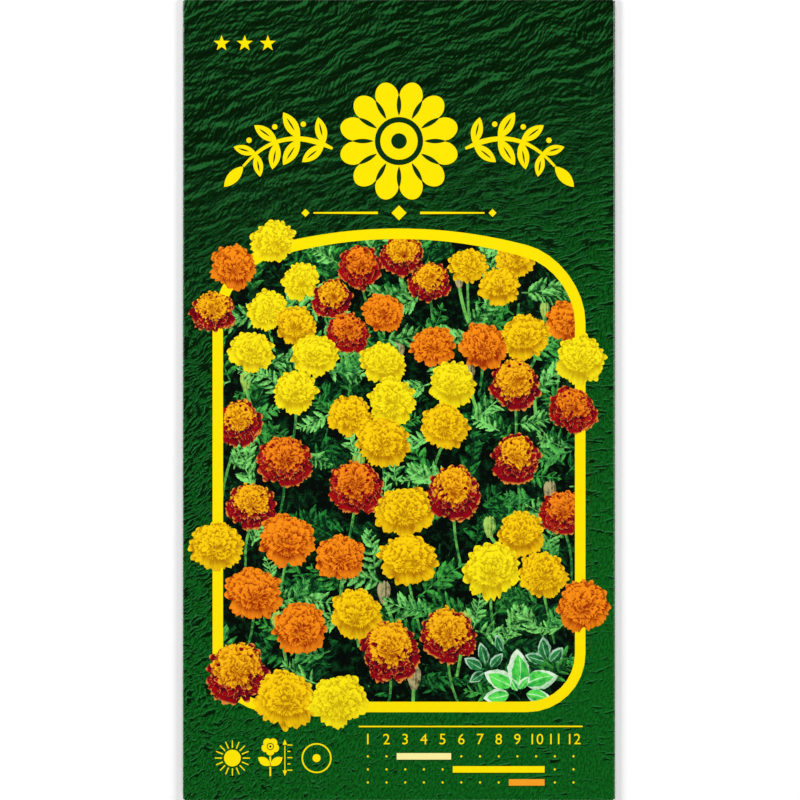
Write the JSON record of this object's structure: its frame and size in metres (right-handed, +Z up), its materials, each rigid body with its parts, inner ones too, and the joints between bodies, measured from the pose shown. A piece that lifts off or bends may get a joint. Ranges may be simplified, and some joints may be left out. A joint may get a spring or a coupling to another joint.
{
  "type": "seed packet",
  "caption": "Sealed flat paper envelope of flower seeds, folded from one sheet and glued at a side seam and at both ends, with a printed front.",
  "frame": {"origin": "on the surface that the packet lies on, under the middle of its outline", "axes": "+Z up out of the printed front, +Y along the packet to its top, +X across it to the front's right"},
  "size_m": [0.086, 0.16, 0.0037],
  "materials": {
    "coated_paper": "satin coated paper, printed green on the outside and bare white inside",
    "dried_glue": "thin dried film of dispersion glue",
    "seed_husk": "dull near-black husk with a tan brush of bristles"
  },
  "bodies": {
    "root": {"folded_sheet": "coated_paper", "seam_glue": "dried_glue", "bottom_flap_glue": "dried_glue", "top_flap_glue": "dried_glue", "seed_01": "seed_husk", "seed_02": "seed_husk", "seed_03": "seed_husk", "seed_04": "seed_husk", "seed_05": "seed_husk", "seed_06": "seed_husk", "seed_07": "seed_husk", "seed_08": "seed_husk", "seed_09": "seed_husk", "seed_10": "seed_husk", "seed_11": "seed_husk", "seed_12": "seed_husk", "seed_13": "seed_husk", "seed_14": "seed_husk", "seed_15": "seed_husk", "seed_16": "seed_husk", "seed_17": "seed_husk", "seed_18": "seed_husk", "seed_19": "seed_husk", "seed_20": "seed_husk", "seed_21": "seed_husk", "seed_22": "seed_husk", "seed_23": "seed_husk", "seed_24": "seed_husk", "seed_25": "seed_husk", "seed_26": "seed_husk", "seed_27": "seed_husk", "seed_28": "seed_husk", "seed_29": "seed_husk", "seed_30": "seed_husk", "seed_31": "seed_husk", "seed_32": "seed_husk", "seed_33": "seed_husk", "seed_34": "seed_husk", "seed_35": "seed_husk", "seed_36": "seed_husk", "seed_37": "seed_husk", "seed_38": "seed_husk", "seed_39": "seed_husk", "seed_40": "seed_husk", "seed_41": "seed_husk", "seed_42": "seed_husk", "seed_43": "seed_husk", "seed_44": "seed_husk", "seed_45": "seed_husk", "seed_46": "seed_husk", "seed_47": "seed_husk", "seed_48": "seed_husk"}
  },
  "joints": []
}
